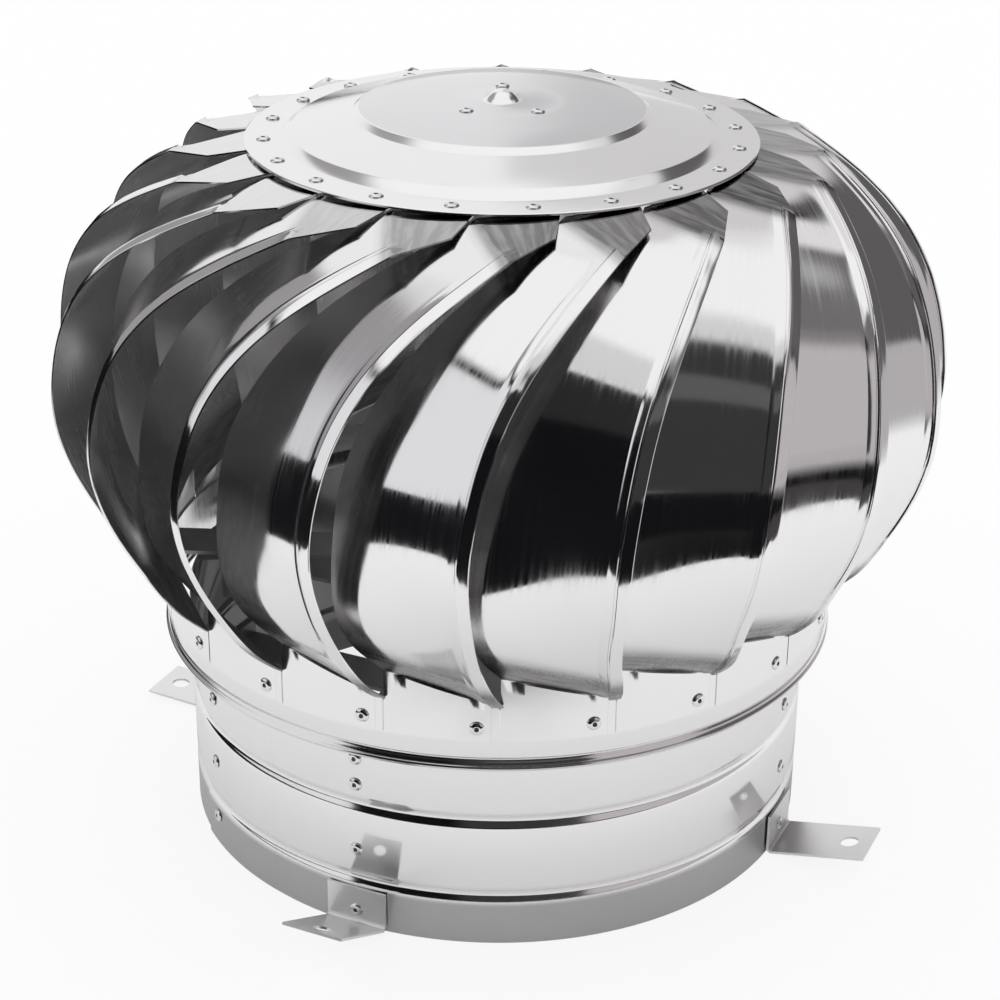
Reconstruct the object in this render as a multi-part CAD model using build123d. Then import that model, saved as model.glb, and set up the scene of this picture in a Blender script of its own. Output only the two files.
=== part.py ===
from build123d import *
from math import asin, cos, sin, radians
import os

# Roof turbine ventilator for a 300 mm throat: a spinning head of twenty sheet-steel blades on a
# fixed neck.  Millimetres, +Z up.  The origin is on the turbine's axis, at the neck's bottom edge.
# Azimuths are degrees from the front (-Y) towards the right (+X).

# ---- sheet, strap and fits ------------------------------------------------------------------
sheet = 0.8                  # neck, ring, top plate and blades
strap = 2.0                  # braces
seat_gap = 0.05              # between riveted pieces that share a curved seat
running_gap = 0.05           # between a bearing race and what slips in it

# ---- neck -----------------------------------------------------------------------------------
neck_radius = 150.0          # outside of the throat
neck_height = 112.0
bead_width = 9.0             # stiffening beads, pressed inwards
bead_depth = 1.5
lower_bead = 25.5            # middle height of each bead
upper_bead = 64.8
seam_azimuth = -61.7         # riveted lap seam up the neck
seam_lap = 26.0

# ---- feet -----------------------------------------------------------------------------------
foot_azimuth = -24.5         # first foot; the rest follow at equal steps
foot_lifts = (28.0, 11.0, 6.0, 2.5)   # how far each foot springs up from level
foot_width = 29.5
foot_reach = 48.5            # from the neck to the tip
foot_leg = 20.5              # height of the upright leg
foot_sheet = 1.2
foot_bend = 1.2              # inside radius of the bend
foot_hole_radius = 4.5
foot_hole_inset = 11.0       # hole centre from the tip

# ---- shaft and bearings ---------------------------------------------------------------------
shaft_radius = 7.5
thread_radius = 6.0          # M12 ends, above and below
collar_radius = 10.0         # turned collar that carries the upper bearing
collar_height = 3.0
bearing_outside = 17.5       # sealed ball bearings, 15 x 35 x 11
bearing_width = 11.0
race_land = 3.0              # width of the race that a cup's lip or land may cover
cup_wall = 1.5
cup_flange = 28.0
nut_flats = 18.0
nut_height = 7.0
thread_spare = 2.5           # thread past each nut

# ---- braces ---------------------------------------------------------------------------------
arm_width = 25.0
hub_radius = 27.0
lower_brace_rivet = 40.8     # rivet heights on the neck
upper_brace_rivets = (75.0, 88.5)
tab_margin = 5.0             # a tab's edge from its rivet
rotor_brace_rise = 2.0       # rotor brace's tab above the neck's top edge
rotor_tab_margin = 5.1       # the rotor brace's tab past its rivets

# ---- rotor ring -----------------------------------------------------------------------------
ring_clearance = 9.8         # between the neck and the ring that turns round it
ring_overhang = 14.7         # how far the ring hangs below the neck's top edge
ring_height = 30.7
hem_height = 3.4             # rolled hem at the ring's bottom edge
hem_bulge = 1.2
groove_height = 3.7          # groove above the hem
groove_depth = 1.0
ring_rivet_rise = 21.8       # rivets above the ring's bottom edge

# ---- top plate ------------------------------------------------------------------------------
rim_radius = 115.6
rim_rise = 214.1             # the rim's top above the ring's rivets
rim_width = 16.3
step_run = 4.7               # step inside the rim
step_rise = 3.8
cone_run = 28.1
cone_rise = 6.8
disc_step_run = 2.0          # step up to the centre disc
disc_step_rise = 4.6
dome_radius = 8.2
dome_height = 5.0

# ---- blades ---------------------------------------------------------------------------------
blade_count = 20
first_blade = -2.9           # azimuth of the first blade's ring rivet
belly = 70.0                 # how far the blades swell past a straight line from ring to rim
blade_hem = 5.5              # width of the raised hem along the free edge
hem_rise = 0.8
blade_stations = 7           # lofted sections along the panel
tab_below_rivet = 6.4        # lower end of the tabs on the ring
tab_slit = 0.25              # degrees between neighbouring tabs
tab_overlap = 0.4            # how far the tab laps the panel past the crease
top_tab_bend = 5.6           # the top tab bends down from the plate this far inside the rim
top_tab_inner = 15.8         # the top tab's inner edge, inside the rim
top_tab_turns = (16.4, 33.8)      # the top tab's corners, past the blade's own ring rivet
top_tab_side = (16.4, 30.4)       # end of the hem on the top tab: beyond the rim, azimuth
# Edges of a blade's curved panel, from the crease above the ring to the crease below the plate:
# height as a share of rim_rise, swell as a share of belly, azimuth past the blade's ring rivet.
free_edge = [
    (0.0509, 0.0343, 4.0), (0.0976, 0.2202, 2.8), (0.1957, 0.4824, 0.9), (0.3125, 0.7443, 0.0),
    (0.4376, 0.9334, -0.3), (0.5624, 1.0093, 0.6), (0.6885, 1.0047, 2.7), (0.8122, 0.8785, 7.4),
    (0.9057, 0.6418, 15.0), (0.9594, 0.4639, 22.0),
]
lead_edge = [
    (0.1163, 0.0200, -14.4), (0.2144, 0.3042, -18.0), (0.3312, 0.4920, -18.7), (0.4479, 0.5927, -18.2),
    (0.5647, 0.6362, -17.3), (0.6815, 0.6240, -14.6), (0.7982, 0.5546, -9.2), (0.8916, 0.4169, -1.6),
    (0.9524, 0.2253, 7.1), (0.9888, -0.0310, 16.1),
]

# ---- worked out from the above --------------------------------------------------------------
blade_pitch = 360 / blade_count
foot_count = len(foot_lifts)
quarter = 360 / foot_count
neck_bore = neck_radius - sheet
ring_bore = neck_radius + ring_clearance
ring_radius = ring_bore + sheet
ring_bottom = neck_height - ring_overhang
ring_top = ring_bottom + ring_height
ring_rivet = ring_bottom + ring_rivet_rise
rim_top = ring_rivet + rim_rise
plate_underside = rim_top - sheet
disc_top = rim_top + step_rise + cone_rise + disc_step_rise
disc_underside = disc_top - sheet
lower_brace_low = lower_brace_rivet - tab_margin
upper_brace_high = upper_brace_rivets[1] + tab_margin
rotor_tab_low = neck_height + rotor_brace_rise
rotor_brace_high = ring_rivet + rotor_tab_margin
lower_bearing_low = rotor_brace_high - bearing_width
cup_land = disc_underside - nut_height - thread_spare
upper_bearing_low = cup_land - bearing_width
cup_bore = bearing_outside + seat_gap


# ---- helpers --------------------------------------------------------------------------------
def at(radius, azimuth, height=0.0):
    a = radians(azimuth)
    return Vector(radius * sin(a), -radius * cos(a), height)


def turned(azimuth, shape):
    return Rot(0, 0, azimuth) * shape


def tube(inner, outer, low, high):
    profile = Plane.XZ * Pos((inner + outer) / 2, (low + high) / 2) * Rectangle(outer - inner, high - low)
    return revolve(profile, Axis.Z)


def disc(radius, low, high):
    return Pos(0, 0, low) * Cylinder(radius, high - low, align=(Align.CENTER, Align.CENTER, Align.MIN))


def sheet_of_revolution(path, thickness_step, arc=360):
    """Sheet wall turned round the axis: path is (radius, height) points of its outer face."""
    dr, dz = thickness_step
    inner = [(r + dr, z + dz) for r, z in reversed(path)]
    outline = [Vector(r, 0, z) for r, z in list(path) + inner]
    return revolve(make_face(Polyline(outline, close=True)), Axis.Z, arc)


def bead(middle, width, depth, radius):
    """Points of a bead pressed inwards by depth, or outwards where depth is negative."""
    return [(radius, middle - width / 2), (radius - depth, middle), (radius, middle + width / 2)]


def save(node, *solids):
    shape = solids[0] if len(solids) == 1 else Compound(children=list(solids))
    shape.label = node
    export_step(shape, f"parts/{node}.step")


# ---- neck -----------------------------------------------------------------------------------
def neck_path(radius):
    return [
        (radius, 0),
        *bead(lower_bead, bead_width, bead_depth, radius),
        *bead(upper_bead, bead_width, bead_depth, radius),
        (radius, neck_height),
    ]


def neck():
    wall = sheet_of_revolution(neck_path(neck_radius), (-sheet, 0))
    lap_arc = seam_lap / radians(1) / neck_radius
    lap = sheet_of_revolution(neck_path(neck_radius + sheet), (-sheet, 0), lap_arc)
    return wall + turned(seam_azimuth - 90 - lap_arc / 2, lap)


# ---- feet -----------------------------------------------------------------------------------
def foot(lift):
    """L-bracket with its bend at the neck's bottom edge, drawn at the front and facing -Y."""
    face = neck_radius + seat_gap
    up, out = sin(radians(lift)), cos(radians(lift))
    inner_bend = foot_sheet * (1 + up) / out
    tip = (face + foot_reach * out, foot_reach * up)
    corners = [
        (face, foot_leg),
        (face, 0),
        tip,
        (tip[0] - foot_sheet * up, tip[1] + foot_sheet * out),
        (face + foot_sheet, foot_sheet * out + inner_bend * up),
        (face + foot_sheet, foot_leg),
    ]
    profile = make_face(Polyline([Vector(x, y) for x, y in corners], close=True))
    for corner, bend in ((corners[1], foot_bend + foot_sheet), (corners[4], foot_bend)):
        vertex = profile.vertices().sort_by_distance(Vector(*corner))[0]
        profile = fillet(vertex, bend)
    side_on = Plane((0, 0, 0), x_dir=(0, -1, 0), z_dir=(-1, 0, 0))
    bracket = extrude(side_on * profile, foot_width / 2, both=True)
    to_hole = foot_reach - foot_hole_inset
    hole_plane = Plane(
        (0, -(face + to_hole * out), to_hole * up), x_dir=(1, 0, 0), z_dir=(0, up, out)
    )
    return bracket - hole_plane * Cylinder(foot_hole_radius, 4 * foot_sheet)


# ---- braces ---------------------------------------------------------------------------------
def brace(wall_bore, azimuth, arm_low, tab_low, tab_high, hole_radius):
    """Four-armed brace: flat arms from a hub, each end turned along the wall as a riveting tab."""
    reach = wall_bore - seat_gap
    arm = Box(arm_width, 2 * reach, strap, align=(Align.CENTER, Align.CENTER, Align.MIN))
    arms = (arm + turned(90, arm)) & disc(reach, 0, strap)
    hub = disc(hub_radius, 0, strap)
    slab = Box(arm_width, 2.2 * reach, tab_high - tab_low, align=(Align.CENTER, Align.CENTER, Align.MIN))
    ends = tube(reach - strap, reach, 0, tab_high - tab_low) & (slab + turned(90, slab))
    shape = Pos(0, 0, arm_low) * (arms + hub) + Pos(0, 0, tab_low) * ends
    return turned(azimuth, shape - disc(hole_radius, arm_low - strap, arm_low + 2 * strap))


def lower_brace():
    high = lower_brace_rivet + tab_margin
    return brace(neck_bore, foot_azimuth, lower_brace_low, lower_brace_low, high, thread_radius + seat_gap)


def upper_brace():
    low = upper_brace_rivets[0] - tab_margin
    arm_low = upper_brace_high - strap
    return brace(neck_bore, foot_azimuth, arm_low, low, upper_brace_high, shaft_radius + seat_gap)


def rotor_brace():
    """Brace riveted in the rotor ring, with a cup for the lower bearing pressed in its hub."""
    arm_low = rotor_brace_high - strap
    cross = brace(ring_bore, first_blade, arm_low, rotor_tab_low, rotor_brace_high, cup_bore)
    wall = tube(cup_bore, cup_bore + cup_wall, lower_bearing_low - cup_wall, rotor_brace_high)
    lip = tube(cup_bore - race_land, cup_bore, lower_bearing_low - cup_wall, lower_bearing_low)
    return cross + wall + lip


# ---- shaft, bearings and nuts ---------------------------------------------------------------
def shaft():
    """Fixed shaft: threaded ends, a shoulder on the lower brace, a collar under the top bearing."""
    foot_end = lower_brace_low - nut_height - thread_spare
    top_end = cup_land + nut_height + thread_spare / 2
    threads = disc(thread_radius, foot_end, top_end)
    bar = disc(shaft_radius, lower_brace_low + strap, cup_land)
    collar = disc(collar_radius, upper_bearing_low - collar_height, upper_bearing_low)
    return threads + bar + collar


def bearing(low):
    return tube(shaft_radius + running_gap, bearing_outside, low, low + bearing_width)


def nut(low):
    hexagon = RegularPolygon(nut_flats / 2, 6, major_radius=False)
    body = extrude(Pos(0, 0, low) * hexagon, nut_height)
    return body - disc(thread_radius + seat_gap, low, low + nut_height)


def bearing_cup():
    """Flanged cup riveted under the top plate; its land bears on the upper bearing's outer race."""
    barrel = tube(cup_bore, cup_bore + cup_wall, upper_bearing_low, disc_underside)
    land = tube(cup_bore - race_land, cup_bore, cup_land, disc_underside)
    flange = tube(cup_bore, cup_flange, disc_underside - cup_wall, disc_underside)
    return barrel + land + flange


# ---- rotor ring and top plate ---------------------------------------------------------------
def rotor_ring():
    hem_middle = ring_bottom + hem_height / 2
    groove_middle = ring_bottom + hem_height + groove_height / 2
    path = [
        *bead(hem_middle, hem_height, -hem_bulge, ring_radius),
        *bead(groove_middle, groove_height, groove_depth, ring_radius)[1:],
        (ring_radius, ring_top),
    ]
    return sheet_of_revolution(path, (-sheet, 0))


def top_plate():
    """One pressed sheet: flat rim, step, cone, raised centre disc and a dome over the shaft."""
    radius, height = rim_radius, rim_top
    top = [Vector(radius, 0, height)]
    presses = [(rim_width, 0), (step_run, step_rise), (cone_run, cone_rise), (disc_step_run, disc_step_rise)]
    for run, rise in presses:
        radius, height = radius - run, height + rise
        top.append(Vector(radius, 0, height))
    top.append(Vector(dome_radius, 0, disc_top))
    under = [Vector(v.X, 0, v.Z - sheet) for v in top]
    dome_top = Vector(0, 0, disc_top + dome_height)

    dome_sphere = (dome_radius**2 + dome_height**2) / (2 * dome_height)
    half_turn = asin(dome_radius / dome_sphere) / 2

    def crown(start, apex):
        middle = apex + Vector(dome_sphere * sin(half_turn), 0, dome_sphere * (cos(half_turn) - 1))
        return ThreePointArc(start, middle, apex)

    outline = [
        Polyline(top),
        crown(top[-1], dome_top),
        Line(dome_top, dome_top - Vector(0, 0, sheet)),
        crown(under[-1], dome_top - Vector(0, 0, sheet)),
        Polyline(under),
        Line(under[0], top[0]),
    ]
    return revolve(make_face(outline), Axis.Z)


# ---- blades ---------------------------------------------------------------------------------
def blade_section(lead, free, along):
    """Thin strip across the panel, with the raised hem at its free edge."""
    across = (free - lead).normalized()
    outward = across.cross(along).normalized()
    hem_start = free - across * blade_hem
    corners = [
        lead - outward * sheet,
        free - outward * sheet,
        free + outward * hem_rise,
        hem_start + outward * hem_rise,
        hem_start,
        lead,
    ]
    return Wire.make_polygon(corners, close=True)


def edge_points(edge):
    """An edge's shares as points: the swell is added to a straight line from the ring to the rim."""
    start = edge[0][0]
    points = []
    for height, swell, azimuth in edge:
        along = (height - start) / (1 - start)
        radius = ring_radius + (rim_radius - ring_radius) * along + belly * swell
        points.append(at(radius, azimuth, ring_rivet + rim_rise * height))
    return points


def blade_panel():
    free = Edge.make_spline(edge_points(free_edge))
    lead = Edge.make_spline(edge_points(lead_edge))
    sections = []
    for i in range(blade_stations):
        t = i / (blade_stations - 1)
        along = free.tangent_at(t) + lead.tangent_at(t)
        sections.append(blade_section(lead.position_at(t), free.position_at(t), along))
    return Solid.make_loft(sections, ruled=False)


def plate_between(corners, thickness):
    """Flat sheet on a polygon of points, its thickness downwards."""
    face = Face(Wire.make_polygon(corners, close=True))
    normal = face.normal_at()
    down = normal if normal.Z < 0 else -normal
    return extrude(face, thickness, dir=down)


def ring_tab():
    """Tab round the ring's outside, from its bottom edge up to the oblique crease."""
    lead, free = edge_points(lead_edge)[0], edge_points(free_edge)[0]
    face = ring_radius + seat_gap
    wall = tube(face, face + sheet, ring_rivet - tab_below_rivet, lead.Z + tab_overlap)
    low_turn = lead_edge[0][2]
    high_turn = low_turn + blade_pitch - tab_slit
    wedge_corners = [Vector(0, 0), at(2 * face, low_turn), at(2 * face, high_turn)]
    wedge = extrude(make_face(Polyline(wedge_corners, close=True)), 2 * lead.Z)
    middle = (lead + free) / 2 + Vector(0, 0, tab_overlap)
    crease = (free - lead).normalized()
    outward = Vector(middle.X, middle.Y, 0).normalized()
    above = Plane(middle, x_dir=crease, z_dir=outward.cross(crease))
    waste = above * Box(4 * face, 4 * face, lead.Z, align=(Align.CENTER, Align.CENTER, Align.MIN))
    return (wall & wedge) - waste


def top_tabs():
    """The tab under the plate's rim, and the flat triangle that slopes from it to the hem."""
    level = plate_underside
    bend = [at(rim_radius - top_tab_bend, turn, level) for turn in top_tab_turns]
    inner = [at(rim_radius - top_tab_inner, turn, level) for turn in reversed(top_tab_turns)]
    flat = plate_between(bend + inner, sheet)
    hem_end = edge_points(free_edge)[-1]
    across = (bend[1] - bend[0]).normalized()
    normal = across.cross(hem_end - bend[0]).normalized()
    beyond, turn = top_tab_side
    side = at(rim_radius + beyond, turn, level)
    side = side - Vector(0, 0, normal.dot(side - bend[0]) / normal.Z)
    slope = plate_between([bend[0], bend[1], side, hem_end], sheet)
    return flat, slope


def blade():
    flat, slope = top_tabs()
    return blade_panel() + ring_tab() + flat + slope


# ---- the assembly ---------------------------------------------------------------------------
os.makedirs("parts", exist_ok=True)
save("neck", neck())
for i, lift in enumerate(foot_lifts):
    save(f"foot_{i + 1}", turned(foot_azimuth + i * quarter, foot(lift)))
save("lower_brace", lower_brace())
save("upper_brace", upper_brace())
save("shaft", shaft())
save("shaft_nuts", nut(lower_brace_low - nut_height), nut(cup_land))
save("bearings", bearing(lower_bearing_low), bearing(upper_bearing_low))
save("bearing_cup", bearing_cup())
save("rotor_brace", rotor_brace())
save("rotor_ring", rotor_ring())
save("top_plate", top_plate())
one_blade = blade()
for i in range(blade_count):
    save(f"blade_{i + 1:02d}", turned(first_blade + i * blade_pitch, one_blade))
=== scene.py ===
from math import atan2, cos, degrees, pi, radians, sin, sqrt

import bmesh
import bpy
import numpy as np
from mathutils import Matrix, Vector


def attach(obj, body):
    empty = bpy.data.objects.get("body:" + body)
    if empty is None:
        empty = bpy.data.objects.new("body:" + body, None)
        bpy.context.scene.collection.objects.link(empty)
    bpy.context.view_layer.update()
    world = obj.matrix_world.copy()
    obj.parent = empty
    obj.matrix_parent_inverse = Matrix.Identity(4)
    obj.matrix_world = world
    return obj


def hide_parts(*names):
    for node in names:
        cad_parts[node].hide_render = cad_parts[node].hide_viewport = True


# A roof turbine ventilator in polished stainless sheet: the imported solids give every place, and the
# sheet pieces are drawn again here with their hems, creases and beads.  Metres, +Z up.
# Azimuths are degrees from the front (-Y) towards the right (+X).

MM = 0.001
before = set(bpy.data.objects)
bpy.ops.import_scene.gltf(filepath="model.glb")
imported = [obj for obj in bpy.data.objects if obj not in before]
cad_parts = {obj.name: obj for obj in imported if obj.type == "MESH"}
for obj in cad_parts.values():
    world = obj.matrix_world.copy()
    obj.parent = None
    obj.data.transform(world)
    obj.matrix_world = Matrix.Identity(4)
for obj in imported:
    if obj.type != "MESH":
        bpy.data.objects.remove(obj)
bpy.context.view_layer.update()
rng = np.random.default_rng(20)


# ---- sizes ----------------------------------------------------------------------------------
SHEET = 0.8 * MM

NECK_RADIUS = 150.0 * MM
NECK_HEIGHT = 112.0 * MM
LOWER_BEAD = 25.5 * MM
UPPER_BEAD = 64.8 * MM
BEAD_WIDTH = 9.0 * MM
BEAD_DEPTH = 1.5 * MM
BEAD_STEPS = 8
BEAD_RUN_IN = 0.4 * MM        # the straight wall below the lower bead ends this far below it
SEAM_AZIMUTH = -61.7
SEAM_LAP = 26.0 * MM
SEAM_TAPER = 24.0             # degrees over which the outer sheet settles into the wall
SEAM_SHEET = SHEET * 0.9      # thickness of the outer sheet at the seam
SEAM_SETTLE = SHEET * 0.96    # how far it has gone in at the end of the taper
SEAM_SEGMENTS = 24

FOOT_AZIMUTH = -24.5
FOOT_COUNT = 4
FOOT_FACE = 151.25 * MM       # outside of a foot's leg
FOOT_RIVET = 8.8 * MM
LOWER_BRACE_RIVET = 40.8 * MM
UPPER_BRACE_RIVETS = (75.0 * MM, 88.5 * MM)
SEAM_RIVETS = (15.8 * MM, 46.0 * MM, 80.0 * MM)

RING_RADIUS = 160.6 * MM
RING_BOTTOM = 97.3 * MM
RING_TOP = 128.0 * MM
RING_RIVET = 119.1 * MM
HEM_HEIGHT = 3.4 * MM
HEM_BULGE = 1.2 * MM
GROOVE_HEIGHT = 3.7 * MM
GROOVE_DEPTH = 1.0 * MM

RIM_TOP = 333.2 * MM
PLATE_PROFILE = [             # outer face of the plate, from the rim inwards: radius, height in mm
    (115.6, 332.9), (115.2, 333.2), (100.0, 333.2), (99.0, 333.5), (95.2, 336.5), (94.2, 337.1),
    (68.2, 343.0), (67.4, 343.3), (65.1, 345.5), (64.2, 345.9), (46.0, 347.3), (30.0, 348.3), (26.0, 348.4),
    (9.2, 348.4), (8.0, 348.8), (6.4, 350.4), (4.6, 352.2), (2.6, 353.2), (0.9, 353.4), (0.0, 353.4),
]
PLATE_SEGMENTS = 192
PLATE_RIVET_CIRCLE = 106.9 * MM
PLATE_RIVET_TURN = 28.0
CAP_RIVET_CIRCLE = 24.0 * MM
CAP_RIVET_TURNS = (180.0, 41.0, -41.0)
CAP_TOP = 348.4 * MM

BLADE_COUNT = 20
BLADE_PITCH = 360 / BLADE_COUNT
FIRST_BLADE = -2.9
INSIDE_FILM = {               # share of the mirror that a film takes from a blade's inner face
    10: 0.14, 11: 0.16, 12: 0.18, 13: 0.20, 14: 0.20, 15: 0.20, 16: 0.18, 17: 0.14, 18: 0.07, 19: 0.03,
    20: 0.02,
}
OTHER_FILM = 0.06             # on the blades that aren't listed
TOP_TAB_SHADE = {              # how far painted shade darkens a blade's top tab
    18: 0.35, 19: 0.60, 20: 0.80, 1: 0.75, 2: 0.90, 3: 1.0, 4: 0.9, 5: 0.7, 6: 0.5,
}
OTHER_TAB_SHADE = 0.1
TAB_RADIUS = 161.45 * MM      # outside of the tabs on the ring
TAB_BOTTOM = 112.7 * MM
TAB_FREE_TURN = 3.35
# Edges of a blade's curved panel, from the crease above the ring to the crease below the plate:
# radius in mm, azimuth past the blade's own ring rivet, height in mm.
FREE_EDGE = [
    (163.0, 4.0, 130.0), (173.8, 2.8, 140.0), (187.5, 0.9, 161.0), (200.3, 0.0, 186.0),
    (207.6, -0.3, 212.8), (207.0, 0.6, 239.5), (200.7, 2.7, 266.5), (186.0, 7.4, 293.0),
    (165.0, 15.0, 313.0), (150.0, 22.0, 324.5),
]
LEAD_EDGE = [
    (162.0, -14.4, 144.0), (176.9, -18.0, 165.0), (184.1, -18.7, 190.0), (185.2, -18.2, 215.0),
    (182.3, -17.3, 240.0), (175.5, -14.6, 265.0), (164.7, -9.2, 290.0), (150.3, -1.6, 310.0),
    (133.8, 7.1, 323.0), (114.0, 16.1, 330.8),
]
TOP_TAB_SIDE = (132.0, 30.4, 328.0)
TOP_TAB_CORNER = (110.0, 33.8, 332.3)
TOP_TAB_TURNS = (16.4, 33.8)
TOP_TAB_BEND = 111.0 * MM
TOP_TAB_INNER = 99.8 * MM
PANEL_ROWS = 84
TAB_ROWS = 5
TOP_ROWS = 8
BODY_COLUMNS = 16
# The folded hem along the free edge and the groove beside it: distance from the edge and height
# above the panel, in mm.
HEM_PROFILE = [
    (0.0, -0.35), (0.12, -0.12), (0.5, 0.06), (1.9, 0.5), (3.3, 0.97), (4.6, 1.4), (4.85, 1.42), (5.1, 1.2),
    (5.3, 0.3), (5.6, 0.12), (6.2, 0.14), (6.5, 0.42), (8.0, 0.3), (9.8, 0.14), (10.2, 0.02), (10.5, 0.0),
]
HEM_RISE = max(rise for _, rise in HEM_PROFILE) * MM
HEM_END = 0.10                # share of the top tab over which the hem's end drops away
# Distances along the sheet from a crease: where its mark is still full, and where it has gone.
LOW_BEND = (13.0 * MM, 31.0 * MM)      # wrinkles, dulling and painted shade above the lower crease
HIGH_BEND = (1.0 * MM, 7.0 * MM)       # painted shade on the top tab below the upper crease
CREASE_DROP = 0.7 * MM        # from the lower crease down to the first row of the ring tab
CREASE_SHARE = 0.02           # share of the top tab between the upper crease and its first row
UNDER_TAB_INSET = 0.5         # degrees that the tab under the rim is narrower at either side
UNDER_TAB_PLACES = 7
# Unevenness of the sheet; its waves are their number, the shortest and the longest, in metres.
DENT_DEPTH = 0.04 * MM        # broad, over the whole panel
DENT_WAVES = (5, 0.07, 0.22)
DENT_COUNT = 2
DENT_FADE_ROWS = 10           # rows at either end of the panel over which the dents die away
CRIMP_DEPTH = 0.035 * MM      # finer, along the hem
CRIMP_WAVES = (9, 0.006, 0.03)
GRAIN_SHIFT = 0.1             # from one blade's grain to the next one's, so that no two are alike

RIVET_RADIUS = 3.25 * MM
RIVET_HEIGHT = 1.15 * MM
RIVET_SIDES = 20
RIVET_SECTION = [             # from the foot to inside the mouth: shares of the radius and the height
    (1.0, 0.0), (0.99, 0.22), (0.93, 0.45), (0.80, 0.72), (0.60, 0.93), (0.42, 1.0), (0.33, 0.98),
    (0.30, 0.80), (0.28, 0.55),
]
RIVET_MOUTH = 0.31            # share of the radius within which the mouth is painted near-black, as shade of the hole with the broken stem

TURNED_SEGMENTS = 160
SPLINE_STEPS = 600
SHARP_FOLD = radians(32)      # faces that meet more steeply keep a sharp edge
SHARP_BLADE_FOLD = radians(26)
WELD = 1e-7


# ---- geometry helpers -----------------------------------------------------------------------
def at(radius, azimuth, height=0.0):
    a = radians(azimuth)
    return Vector((radius * sin(a), -radius * cos(a), height))


def rail_points(rail):
    return np.array([at(r * MM, a, z * MM) for r, a, z in rail])


def spline_rail(points, count):
    """Places and directions, evenly spaced, on the smooth curve through the points."""
    chord = np.linalg.norm(np.diff(points, axis=0), axis=1)
    knots = np.concatenate([[0], np.cumsum(chord)])
    n = len(points)
    system = np.eye(n)
    right = np.zeros((n, 3))
    for i in range(1, n - 1):
        system[i, i - 1:i + 2] = chord[i - 1], 2 * (chord[i - 1] + chord[i]), chord[i]
        right[i] = 6 * ((points[i + 1] - points[i]) / chord[i] - (points[i] - points[i - 1]) / chord[i - 1])
    bend = np.linalg.solve(system, right)

    def places(t):
        i = np.clip(np.searchsorted(knots, t, side="right") - 1, 0, n - 2)
        h = chord[i][:, None]
        a = (knots[i + 1] - t)[:, None]
        b = (t - knots[i])[:, None]
        curved = (bend[i] * a**3 + bend[i + 1] * b**3) / (6 * h)
        straight = (points[i] / h - bend[i] * h / 6) * a + (points[i + 1] / h - bend[i + 1] * h / 6) * b
        return curved + straight

    fine = np.linspace(0, knots[-1], SPLINE_STEPS)
    along = places(fine)
    length = np.concatenate([[0], np.cumsum(np.linalg.norm(np.diff(along, axis=0), axis=1))])
    at_length = np.interp(np.linspace(0, length[-1], count), length, fine)
    place = places(at_length)
    direction = np.gradient(place, axis=0)
    return place, direction / np.linalg.norm(direction, axis=1)[:, None]


def new_object(name, vertices, faces, material, body, uvs, sharp=SHARP_FOLD):
    """A mesh piece that rides on a body, smooth except where its faces meet sharply."""
    mesh = bpy.data.meshes.new(name)
    mesh.from_pydata([tuple(v) for v in vertices], [], faces)
    work = bmesh.new()
    work.from_mesh(mesh)
    layer = work.loops.layers.uv.new("sheet")
    for face in work.faces:
        for loop in face.loops:
            loop[layer].uv = uvs[loop.vert.index]
    bmesh.ops.recalc_face_normals(work, faces=work.faces)
    for face in work.faces:
        face.smooth = True
    for edge in work.edges:
        if len(edge.link_faces) == 2 and edge.calc_face_angle() > sharp:
            edge.smooth = False
    work.to_mesh(mesh)
    work.free()
    piece = bpy.data.objects.new(name, mesh)
    bpy.context.scene.collection.objects.link(piece)
    mesh.materials.append(material)
    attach(piece, body)
    return piece


def lathe(name, profile, material, body, segments=TURNED_SEGMENTS, start=0.0, arc=360.0):
    """A closed profile of (radius, height) points turned round the axis."""
    whole = arc >= 360
    steps = segments if whole else segments + 1
    vertices, uvs, faces = [], [], []
    lengths = np.concatenate([[0], np.cumsum([
        sqrt((b[0] - a[0]) ** 2 + (b[1] - a[1]) ** 2) for a, b in zip(profile, profile[1:])])])
    for i in range(steps):
        turn = start + arc * i / segments
        for (radius, height), length in zip(profile, lengths):
            vertices.append(at(radius, turn, height))
            uvs.append((radians(turn) * profile[0][0], length))
    n = len(profile)
    for i in range(segments):
        k = (i + 1) % steps
        for j in range(n):
            m = (j + 1) % n
            faces.append((i * n + j, k * n + j, k * n + m, i * n + m))
    if not whole:
        faces.append(tuple(range(n)))
        faces.append(tuple(segments * n + j for j in range(n)))
    piece = new_object(name, vertices, faces, material, body, uvs)
    work = bmesh.new()
    work.from_mesh(piece.data)
    bmesh.ops.remove_doubles(work, verts=work.verts, dist=WELD)
    bmesh.ops.dissolve_degenerate(work, edges=work.edges, dist=WELD)
    work.to_mesh(piece.data)
    work.free()
    return piece


def sheet_profile(outer, thickness):
    """Closed profile of a sheet from its outer face: the inner face is a thickness nearer the axis."""
    return outer + [(r - thickness, z) for r, z in reversed(outer)]


def bead_points(middle, width, depth, radius):
    """A rounded bead pressed in by depth, or out where depth is negative."""
    points = []
    for i in range(BEAD_STEPS + 1):
        share = i / BEAD_STEPS
        points.append((radius - depth * 0.5 * (1 - cos(2 * pi * share)), middle + width * (share - 0.5)))
    return points


# ---- shader helpers -------------------------------------------------------------------------
def new_material(name, colour, roughness, metallic=1.0):
    """A material with a Principled shader, and its node tree."""
    material = bpy.data.materials.new(name)
    material.use_nodes = True
    tree = material.node_tree
    shader = tree.nodes["Principled BSDF"]
    shader.inputs["Base Color"].default_value = (*colour, 1)
    shader.inputs["Roughness"].default_value = roughness
    shader.inputs["Metallic"].default_value = metallic
    material.diffuse_color = (*colour, 1)
    return material, tree, shader


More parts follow.
